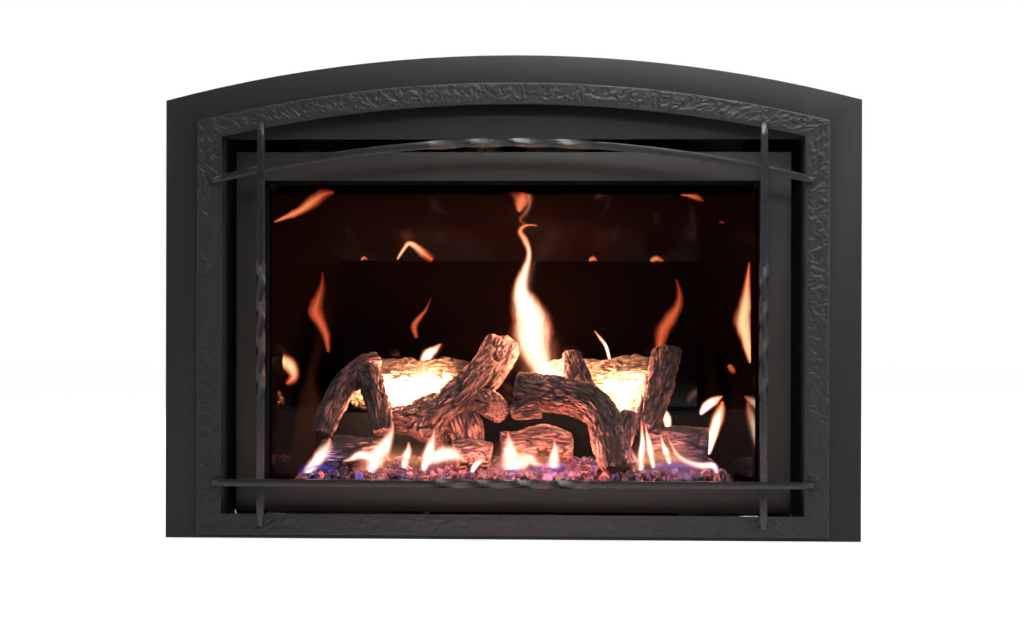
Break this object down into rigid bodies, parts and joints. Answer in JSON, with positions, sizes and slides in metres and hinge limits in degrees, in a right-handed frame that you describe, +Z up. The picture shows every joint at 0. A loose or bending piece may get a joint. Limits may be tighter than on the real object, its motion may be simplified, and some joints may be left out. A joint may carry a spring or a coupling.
{
  "type": "gas fireplace insert",
  "caption": "Gas fireplace insert with an arched surround, a removable hammered face with twisted forged bars, a glazed firebox with ceramic logs, gas controls, a blower and vent collars.",
  "frame": {"origin": "on the hearth under the casing, in the middle of the width, in the plane where the surround meets the fireplace's facing", "axes": "+X to the right seen from the room, +Y into the fireplace, +Z up"},
  "size_m": [1.118, 0.4843, 0.78],
  "materials": {
    "panel_black": "satin",
    "hammered_black": "hammered satin",
    "forged_black": "satin",
    "window_black": "satin",
    "firebox_black": "matt heat-resistant",
    "clear_glass": "clear",
    "black_glass": "gloss black",
    "fibre_rope": "woven glass fibre",
    "zinc_sheet": "zinc coated",
    "bright_steel": "plain",
    "cast_alloy": "cast, matt",
    "tube_alloy": "drawn",
    "brass": "machined",
    "black_iron": "oiled",
    "log_ceramic": "charred, moulded bark",
    "ember_stone": "rough chips",
    "knob_black": "matt",
    "button_red": "matt"
  },
  "bodies": {
    "insert": {"surround_panel": "panel_black", "surround_brackets": "zinc_sheet", "upper_hood": "panel_black", "window_hinges": "bright_steel", "window_catches": "bright_steel", "casing_base": "zinc_sheet", "levelling_bolts": "bright_steel", "casing_sides": "zinc_sheet", "casing_back": "zinc_sheet", "casing_top": "zinc_sheet", "firebox_floor": "firebox_black", "firebox_sides": "firebox_black", "firebox_back": "firebox_black", "firebox_top": "firebox_black", "firebox_front_frame": "firebox_black", "firebox_rails": "zinc_sheet", "side_liners": "black_glass", "back_liner": "black_glass", "ceiling_liner": "black_glass", "vent_plate": "zinc_sheet", "vent_collars": "tube_alloy", "intake_duct": "zinc_sheet", "burner_deck": "firebox_black", "burner_tube": "bright_steel", "rear_left_log": "log_ceramic", "rear_right_log": "log_ceramic", "small_logs": "log_ceramic", "centre_log": "log_ceramic", "left_fork_log": "log_ceramic", "right_fork_log": "log_ceramic", "leaning_log": "log_ceramic", "ember_bed": "ember_stone", "pilot_assembly": "bright_steel", "control_panel": "zinc_sheet", "gas_valve": "cast_alloy", "gas_inlet_pipe": "black_iron", "orifice_holder": "brass", "gas_tubes": "tube_alloy", "igniter_body": "knob_black", "junction_box": "zinc_sheet", "cord_gland": "knob_black", "blower_motor": "cast_alloy", "blower_housings": "zinc_sheet"},
    "front": {"hammered_face": "hammered_black", "face_magnets": "bright_steel", "upper_bar": "forged_black", "lower_bar": "forged_black", "left_bar": "forged_black", "right_bar": "forged_black"},
    "window": {"window_frame": "window_black", "window_glass": "clear_glass", "window_gasket": "fibre_rope"},
    "gas_knob": {"gas_knob": "knob_black"},
    "flame_knob": {"flame_knob": "knob_black"},
    "fan_knob": {"fan_knob": "knob_black"},
    "igniter_button": {"igniter_button": "button_red"},
    "air_shutter": {"air_shutter": "bright_steel"},
    "blower_rotor": {"blower_wheels": "tube_alloy", "blower_shaft": "bright_steel"}
  },
  "joints": [
    {"name": "front_pull", "type": "slide", "parent": "insert", "child": "front", "axis": [0, -1, 0], "range_m": [0, 0.12]},
    {"name": "window_tilt", "type": "hinge", "parent": "insert", "child": "window", "pos_m": [0, 0.0055, 0.619], "axis": [-1, 0, 0], "range_deg": [0, 4]},
    {"name": "gas_knob_turn", "type": "hinge", "parent": "insert", "child": "gas_knob", "pos_m": [-0.33, 0.0195, 0.024], "axis": [0, -1, 0], "range_deg": [0, 180]},
    {"name": "flame_knob_turn", "type": "hinge", "parent": "insert", "child": "flame_knob", "pos_m": [-0.28, 0.0195, 0.024], "axis": [0, -1, 0], "range_deg": [0, 270]},
    {"name": "fan_knob_turn", "type": "hinge", "parent": "insert", "child": "fan_knob", "pos_m": [0.32, 0.0195, 0.024], "axis": [0, 1, 0], "range_deg": [0, 270]},
    {"name": "igniter_press", "type": "slide", "parent": "insert", "child": "igniter_button", "axis": [0, 1, 0], "range_m": [0, 0.005], "stiffness_N_per_m": 400},
    {"name": "shutter_turn", "type": "hinge", "parent": "insert", "child": "air_shutter", "pos_m": [-0.15, 0.085, 0.039], "axis": [0, 0, 1], "range_deg": [0, 35]},
    {"name": "blower_spin", "type": "hinge", "parent": "insert", "child": "blower_rotor", "pos_m": [-0.158, 0.381, 0.044], "axis": [1, 0, 0], "continuous": true}
  ]
}
